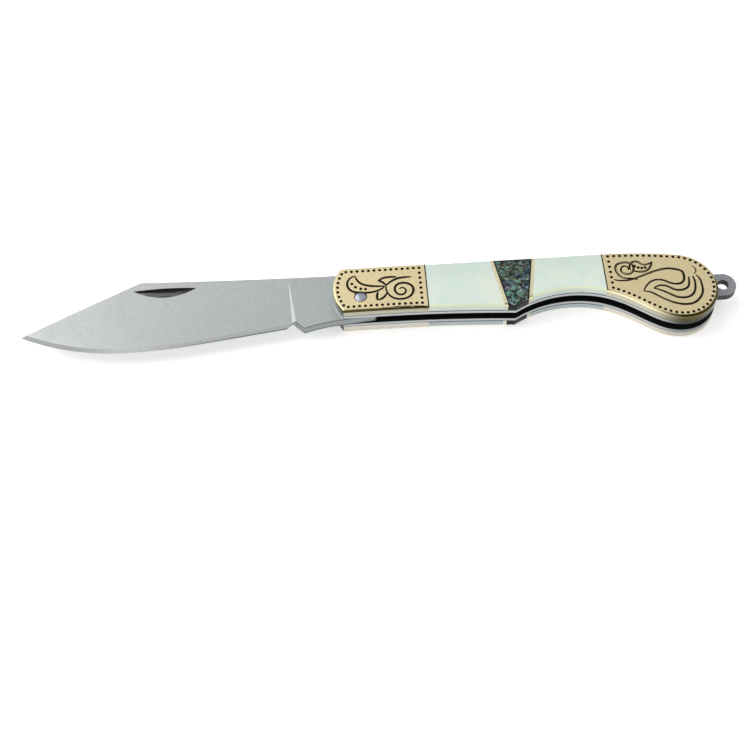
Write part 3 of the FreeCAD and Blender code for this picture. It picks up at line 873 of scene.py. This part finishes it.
@dataclass(frozen=True)
class Pearl(Finish):
    """Mother of pearl: milky white with faint green, blue and yellow clouds and growth lines."""

    name: str
    cool: Colour = tone(203, 221, 212)
    milky: Colour = tone(213, 224, 213)
    warm: Colour = tone(217, 224, 209)
    cloud: Noise = Noise(scale=120.0, roughness=0.5, distortion=1.2)
    cloud_stretch: Triple = (1.0, 0.6, 1.0)
    cloud_tints: Range = (0.25, 0.75)
    growth_turn: float = 68.0
    growth_share: float = 0.22
    growth_depth: float = 0.3
    sheen: Colour = tone(232, 238, 230)
    grain: float = 2200.0
    grain_stretch: Triple = (0.5, 1.0, 1.0)
    grain_depth: float = 0.2
    fleck: Range = (0.56, 0.75)
    fleck_share: float = 0.18
    spine_painted_shade: Colour = tone(186, 205, 197)
    spine_shade_share: float = 0.5
    core: Colour = tone(226, 234, 202)
    belly: Range = (-0.08, -0.5)
    lower_wall_painted_shade: Colour = tone(180, 194, 198)
    lower: Range = (LAYERS.middle, LAYERS.middle - LAYERS.liner)
    seam: Colour = tone(78, 88, 84)
    seam_width: float = 0.5 * MM
    smears: float = 150.0
    polish: Range = (0.14, 0.24)
    depth: float = 0.004 * MM

    def draw(self, graph: Graph, effects: Effects) -> Mapping[str, Value]:
        """Add the pearl's nodes.

        Args:
            graph: The material's graph.
            effects: The shared effects.

        Returns:
            Values and sockets for the shader's inputs, by name.
        """
        place = graph.coordinates()
        marks = effects.place(graph, Effect.MARKS, scale=self.smears)
        masks = effects.place(graph, Effect.ROUNDING)
        grain = effects.place(graph, Effect.GRAIN, scale=self.grain, stretch=self.grain_stretch)
        cloud = graph.noise(graph.stretched(place, self.cloud_stretch), self.cloud)
        tints = ((0.0, self.cool), (0.5, self.milky), (1.0, self.warm))
        colour = graph.ramp(graph.band(cloud, *self.cloud_tints), tints)
        growth = graph.node("ShaderNodeTexWave", {
            "Vector": graph.turned(place, self.growth_turn),
            "Scale": 130.0,
            "Distortion": 7.0,
            "Detail": 3.0,
            "Detail Scale": 2.0,
        }, bands_direction="X").outputs[1]
        colour = graph.mix(graph.product(growth, self.growth_share), colour, self.milky)
        fleck = graph.product(graph.band(grain["Fine"], *self.fleck), self.fleck_share)
        colour = graph.mix(fleck, colour, self.sheen)
        _, across, height = graph.parts(place)
        # Painted shade: darker towards the spine
        towards_spine = graph.product(graph.band(across, 0.0, LAYERS.spine), self.spine_shade_share)
        colour = graph.mix(towards_spine, colour, self.spine_painted_shade)
        belly = graph.band(graph.facing()[1], *self.belly)
        colour = graph.mix(graph.product(masks["Edge"], belly), colour, self.core)
        # Painted shade on the lower walls on the belly side
        low = graph.product(graph.band(height, *self.lower), masks["Wall"], belly)
        colour = graph.mix(low, colour, self.lower_wall_painted_shade)
        line = effects.place(graph, Effect.SEAM, width=self.seam_width)["Line"]
        relief = graph.product(grain["Fine"], self.grain_depth)
        relief = graph.math("ADD", relief, graph.product(growth, self.growth_depth))
        return {
            "Base Color": graph.mix(line, colour, self.seam),
            "Roughness": graph.between(marks["Smear"], *self.polish),
            "IOR": 1.56,
            "Coat Weight": 0.25,
            "Coat Roughness": 0.06,
            "Normal": graph.bump(relief, self.depth),
        }


@dataclass(frozen=True)
class Abalone(Finish):
    """Chips of abalone shell: blue, green, violet and brown flakes with dark gaps between them."""

    name: str
    patches: Tuple[Tuple[float, Colour], ...] = (
        (0.0, tone(96, 66, 92)),
        (0.16, tone(74, 98, 116)),
        (0.34, tone(62, 96, 92)),
        (0.5, tone(84, 96, 92)),
        (0.64, tone(94, 84, 62)),
        (0.8, tone(74, 128, 100)),
        (1.0, tone(104, 146, 140)),
    )
    hue: Noise = Noise(scale=330.0, detail=2.0, roughness=0.5, distortion=0.8)
    hue_span: Range = (0.28, 0.72)
    flakes: Noise = Noise(scale=620.0, detail=2.0, roughness=0.6, distortion=1.6)
    flake_turn: float = 38.0
    flake_stretch: Triple = (1.0, 1.7, 1.0)
    fleck: Colour = tone(176, 204, 200)
    fleck_span: Range = (0.56, 0.7)
    fleck_share: float = 0.75
    gap: Colour = tone(9, 13, 12)
    gap_span: Range = (0.5, 0.36)
    gap_share: float = 0.95
    shadow: Noise = Noise(scale=400.0, detail=2.0, distortion=2.0)
    shadow_turn: float = -25.0
    shadow_span: Range = (0.54, 0.38)
    shadow_share: float = 0.9
    # Black for the glue beside the spacers and for a painted dark reflection along the spine
    glue_and_reflection_black: Colour = tone(10, 10, 10)
    centre: float = 36.3 * MM
    half_width: float = 5.35 * MM
    slant: float = 10.0
    glue_inset: Range = (0.5 * MM, 0.25 * MM)
    spine_painted_reflection: Range = (-0.95 * MM, -0.65 * MM)
    polish: Range = (0.14, 0.24)
    depth: float = 0.003 * MM

    def border(self, graph: Graph, place: Socket) -> Value:
        """Mask the black glue line beside the spacers and the painted dark reflection along the spine.

        Args:
            graph: The material's graph.
            place: Place on the surface.

        Returns:
            Socket with the mask.
        """
        along, across, _ = graph.parts(place)
        off_spine = graph.math("SUBTRACT", across, LAYERS.spine)
        narrowing = graph.product(off_spine, math.tan(math.radians(self.slant)))
        reach = graph.math("SUBTRACT", graph.distance(along, self.centre), narrowing)
        beside = graph.band(reach, *(self.half_width - inset for inset in self.glue_inset))
        return graph.largest(graph.band(off_spine, *self.spine_painted_reflection), beside)

    def draw(self, graph: Graph, effects: Effects) -> Mapping[str, Value]:
        """Add the abalone's nodes.

        Args:
            graph: The material's graph.
            effects: The shared effects.

        Returns:
            Values and sockets for the shader's inputs, by name.
        """
        place = graph.coordinates()
        colour = graph.ramp(graph.band(graph.noise(place, self.hue), *self.hue_span), self.patches)
        drawn = graph.stretched(graph.turned(place, self.flake_turn), self.flake_stretch)
        flakes = graph.noise(drawn, self.flakes)
        fleck = graph.product(graph.band(flakes, *self.fleck_span), self.fleck_share)
        colour = graph.mix(fleck, colour, self.fleck)
        gap = graph.product(graph.band(flakes, *self.gap_span), self.gap_share)
        colour = graph.mix(gap, colour, self.gap)
        shadow = graph.noise(graph.turned(place, self.shadow_turn), self.shadow)
        shadow = graph.product(graph.band(shadow, *self.shadow_span), self.shadow_share)
        colour = graph.mix(shadow, colour, self.gap)
        marks = effects.place(graph, Effect.MARKS)
        return {
            "Base Color": graph.mix(self.border(graph, place), colour, self.glue_and_reflection_black),
            "Roughness": graph.between(marks["Smear"], *self.polish),
            "Specular IOR Level": 0.2,
            "Coat Weight": 0.1,
            "Coat Roughness": 0.05,
            "Normal": graph.bump(flakes, self.depth),
        }


@dataclass(frozen=True)
class Backing(Finish):
    """Black plate with a faint brown grain, polished."""

    name: str
    black: Colour = tone(14, 13, 13)
    brown: Colour = tone(40, 28, 20)
    brown_span: Range = (0.5, 0.75)
    grain: float = 1800.0
    grain_stretch: Triple = (0.4, 1.0, 1.6)
    polish: Range = (0.2, 0.34)
    depth: float = 0.003 * MM

    def draw(self, graph: Graph, effects: Effects) -> Mapping[str, Value]:
        """Add the backing's nodes.

        Args:
            graph: The material's graph.
            effects: The shared effects.

        Returns:
            Values and sockets for the shader's inputs, by name.
        """
        grain = effects.place(graph, Effect.GRAIN, scale=self.grain, stretch=self.grain_stretch)
        marks = effects.place(graph, Effect.MARKS)
        return {
            "Base Color": graph.mix(graph.band(grain["Fine"], *self.brown_span), self.black, self.brown),
            "Roughness": graph.between(marks["Smear"], *self.polish),
            "Specular IOR Level": 0.15,
            "Normal": graph.bump(grain["Fine"], self.depth),
        }


@dataclass
class Assembly:
    """Solids that are dressed together."""

    effects: Effects
    nodes: Mapping[str, bpy.types.Object]

    def dress(self, node: str, material: bpy.types.Material) -> None:
        """Give a solid its material.

        Args:
            node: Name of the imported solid.
            material: The finish it gets.
        """
        for slot in self.nodes[node].material_slots:
            slot.material = material
        log.info("%s: %s", node, material.name)


@dataclass
class Blade(Assembly):
    """The blade, ground and satin finished across its length."""

    finish: BladeSteel = BladeSteel(
        "blade_steel",
        colour=(0.463, 0.5, 0.499, 1.0),
        roughness=0.3,
        stretch=(1.8, 0.4, 1.0),
        contrast=0.1,
    )

    def build(self) -> None:
        """Dress the blade."""
        self.dress("blade", self.finish.material(self.effects))


@dataclass
class Works(Assembly):
    """The spring, the tail block with its lug, and the pins."""

    spring: Steel = Steel(
        "spring_steel",
        colour=(0.31, 0.32, 0.34, 1.0),
        roughness=0.46,
        stretch=(0.6, 1.0, 1.0),
        metallic=0.7,
        depth=0.008 * MM,
        contrast=0.12,
        # Painted shade on the belly-side walls, the lug's hole among them
        belly_wall_painted_shade=0.85,
    )
    pin: Steel = Steel("pin_steel", colour=(0.41, 0.435, 0.5, 1.0), roughness=0.22, stretch=(1.0, 1.0, 1.0))
    brass_pin: Brass = Brass("brass_pin")

    def build(self) -> None:
        """Dress the spring, block and pins."""
        spring = self.spring.material(self.effects)
        pin = self.pin.material(self.effects)
        self.dress("back_spring", spring)
        self.dress("tail_block", spring)
        self.dress("pivot_pin", pin)
        self.dress("spring_pin", pin)
        self.dress("rear_pin", self.brass_pin.material(self.effects))


class Side(Enum):
    """The two sides of the handle, as the solids' names start."""

    LEFT = "left_"
    RIGHT = "right_"


@dataclass
class Handle(Assembly):
    """Liners, bolsters, scales, spacers and inlays of both sides."""

    liner: LinerSteel = LinerSteel(
        "liner_steel",
        colour=(0.45, 0.475, 0.485, 1.0),
        roughness=0.26,
        stretch=(0.3, 1.0, 2.0),
    )
    bolster: EtchedBrass = EtchedBrass("bolster_brass")
    spacer: Brass = Brass("spacer_brass", colour=(0.93, 0.85, 0.58, 1.0), face_roughness=0.3)
    pearl: Pearl = Pearl("mother_of_pearl")
    abalone: Abalone = Abalone("abalone_shell")
    backing: Backing = Backing("black_backing")

    def build(self) -> None:
        """Dress both sides."""
        finishes = (
            (self.liner, ("liner",)),
            (self.bolster, ("front_bolster", "rear_bolster")),
            (self.spacer, ("front_spacer", "rear_spacer")),
            (self.pearl, ("front_pearl_scale", "rear_pearl_scale")),
            (self.abalone, ("abalone_inlay",)),
            (self.backing, ("inlay_backing",)),
        )
        for finish, names in finishes:
            material = finish.material(self.effects)
            for side in Side:
                for name in names:
                    self.dress(side.value + name, material)


@dataclass(frozen=True)
class Softbox:
    """A large soft lamp that looks at the knife, and shows in polished surfaces if it is mirrored."""

    name: str
    place: Triple
    width: float
    radiance: float
    mirrored: bool

    def build(self) -> None:
        """Add the lamp, as wide as it is high."""
        lamp = bpy.data.lights.new(self.name, "AREA")
        lamp.shape = "RECTANGLE"
        lamp.size = self.width
        lamp.size_y = self.width
        lamp.energy = self.radiance * math.pi * self.width * self.width
        made = bpy.data.objects.new(self.name, lamp)
        made.location = self.place
        made.rotation_euler = (-Vector(self.place)).to_track_quat("-Z", "Y").to_euler()
        made.visible_glossy = self.mirrored
        bpy.context.scene.collection.objects.link(made)


@dataclass(frozen=True)
class Zone:
    """A part of the room: how bright it is, and where it starts and is full along each axis.

    The axes are those of a unit direction: east towards the butt, north towards the spine, and up.
    """

    level: float
    east: Optional[Range] = None
    north: Optional[Range] = None
    up: Optional[Range] = None
    within: Tuple["Zone", ...] = ()

    def share(self, graph: Graph, axes: Sequence[Socket]) -> Socket:
        """Mask the directions that lie in the zone."""
        reaches = zip(axes, (self.east, self.north, self.up))
        return graph.product(*(graph.band(axis, *reach) for axis, reach in reaches if reach))

    def brightness(self, graph: Graph, axes: Sequence[Socket]) -> Value:
        """Lay the zones within this one over its own level, one after another.

        Args:
            graph: The world's graph.
            axes: The direction's parts.

        Returns:
            The brightness, as a socket where there are zones within.
        """
        level: Value = self.level
        for zone in self.within:
            level = graph.between(zone.share(graph, axes), level, zone.brightness(graph, axes))
        return level


@dataclass(frozen=True)
class Room:
    """The room round the knife, whose ceiling is brighter towards the blade's point."""

    ceiling: float = 0.68
    over_handle: Zone = Zone(0.8, east=(0.02, 0.16))
    over_butt: Zone = Zone(0.72, east=(0.19, 0.27))
    zenith: Zone = Zone(0.6, up=(0.85, 0.9))
    over_point: Zone = Zone(2.15, east=(0.0, -0.32))
    low_north: Zone = Zone(0.2, north=(0.6, 0.75), up=(0.62, 0.5))
    beyond_butt: Zone = Zone(0.25, east=(0.4, 0.65), up=(0.65, 0.45))
    horizon: Zone = Zone(1.0, up=(0.24, 0.1), within=(Zone(2.4, east=(-0.45, -0.75)),))
    aside: Zone = Zone(0.8, north=(0.36, 0.16), up=(0.75, 0.55))
    south: Zone = Zone(0.1, north=(-0.04, -0.3), within=(
        Zone(0.75, up=(0.72, 0.55), within=(Zone(1.4, east=(-0.35, -0.65)),)),
    ))

    def build(self) -> None:
        """Make the world; high in the south, where the camera stands, it is dark."""
        world = bpy.data.worlds.new("soft_room")
        bpy.context.scene.world = world
        world.use_nodes = True
        graph = Graph(world.node_tree)
        ceiling = (self.over_handle, self.over_butt, self.zenith, self.over_point)
        sides = (self.low_north, self.beyond_butt, self.horizon, self.aside, self.south)
        axes = graph.parts(graph.coordinates("Generated"))
        level = Zone(self.ceiling, within=ceiling + sides).brightness(graph, axes)
        surround = graph.node("ShaderNodeBackground", {"Color": WHITE, "Strength": level})
        graph.node("ShaderNodeOutputWorld", {"Surface": surround.outputs[0]})


@dataclass
class Studio:
    """White floor, soft light and the camera."""

    floor_reach: float = 4.0
    floor_colour: Colour = (0.82, 0.82, 0.82, 1.0)
    floor_lift: Colour = (0.43, 0.43, 0.43, 1.0)
    room: Room = Room()
    lamps: Tuple[Softbox, ...] = (
        Softbox("key_softbox", (-0.95, 0.1, 0.85), width=0.6, radiance=3.5, mirrored=False),
        Softbox("side_card", (-0.55, -0.92, 0.76), width=0.25, radiance=3.0, mirrored=True),
        Softbox("overhead_fill", (0.1, -0.3, 1.2), width=1.5, radiance=0.28, mirrored=False),
    )
    lens: float = 72.8
    nearest: float = 0.01
    camera_place: Triple = (-0.01435, -0.22892, 0.34248)
    camera_ahead: Triple = (0.02856, 0.52445, -0.85096)
    camera_right: Triple = (0.99766, -0.0679, -0.00836)

    def build(self) -> None:
        """Make the floor, the room, the lamps and the camera."""
        self.make_floor()
        self.room.build()
        for lamp in self.lamps:
            lamp.build()
        self.make_camera()
        bpy.context.scene.view_settings.view_transform = "Standard"

    def make_floor(self) -> None:
        """Lay a white floor that shows as white and keeps the knife's shadow."""
        shape = bmesh.new()
        bmesh.ops.create_grid(shape, x_segments=1, y_segments=1, size=self.floor_reach)
        mesh = bpy.data.meshes.new("floor")
        shape.to_mesh(mesh)
        shape.free()
        floor = bpy.data.objects.new("floor", mesh)
        bpy.context.scene.collection.objects.link(floor)
        paint = bpy.data.materials.new("floor_white")
        paint.use_nodes = True
        graph = Graph(paint.node_tree)
        path = graph.node("ShaderNodeLightPath").outputs
        seen = graph.largest(path["Is Camera Ray"], path["Is Glossy Ray"], path["Is Transmission Ray"])
        shader = graph.node("ShaderNodeBsdfPrincipled", {
            "Base Color": self.floor_colour,
            "Roughness": 0.9,
            "Specular IOR Level": 0.0,
            "Emission Color": graph.mix(seen, BLACK, self.floor_lift),
            "Emission Strength": 1.0,
        })
        graph.node("ShaderNodeOutputMaterial", {"Surface": shader.outputs[0]})
        mesh.materials.append(paint)

    def make_camera(self) -> None:
        """Put the camera where the knife was seen from."""
        lens = bpy.data.cameras.new("camera")
        lens.lens = self.lens
        lens.clip_start = self.nearest
        ahead = Vector(self.camera_ahead).normalized()
        right = Vector(self.camera_right)
        right = (right - ahead * right.dot(ahead)).normalized()
        turn = Matrix((right, right.cross(ahead), -ahead)).transposed()
        camera = bpy.data.objects.new("camera", lens)
        camera.matrix_world = Matrix.Translation(self.camera_place) @ turn.to_4x4()
        bpy.context.scene.collection.objects.link(camera)
        bpy.context.scene.camera = camera


def main() -> None:
    """Load the frame, dress every solid, and set up light and camera."""
    logging.basicConfig(level=logging.INFO, format="%(name)s %(message)s")
    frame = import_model()
    effects = Effects()
    for assembly in (Blade, Works, Handle):
        assembly(effects, frame["nodes"]).build()
    Studio().build()


if __name__ == "__main__":
    main()
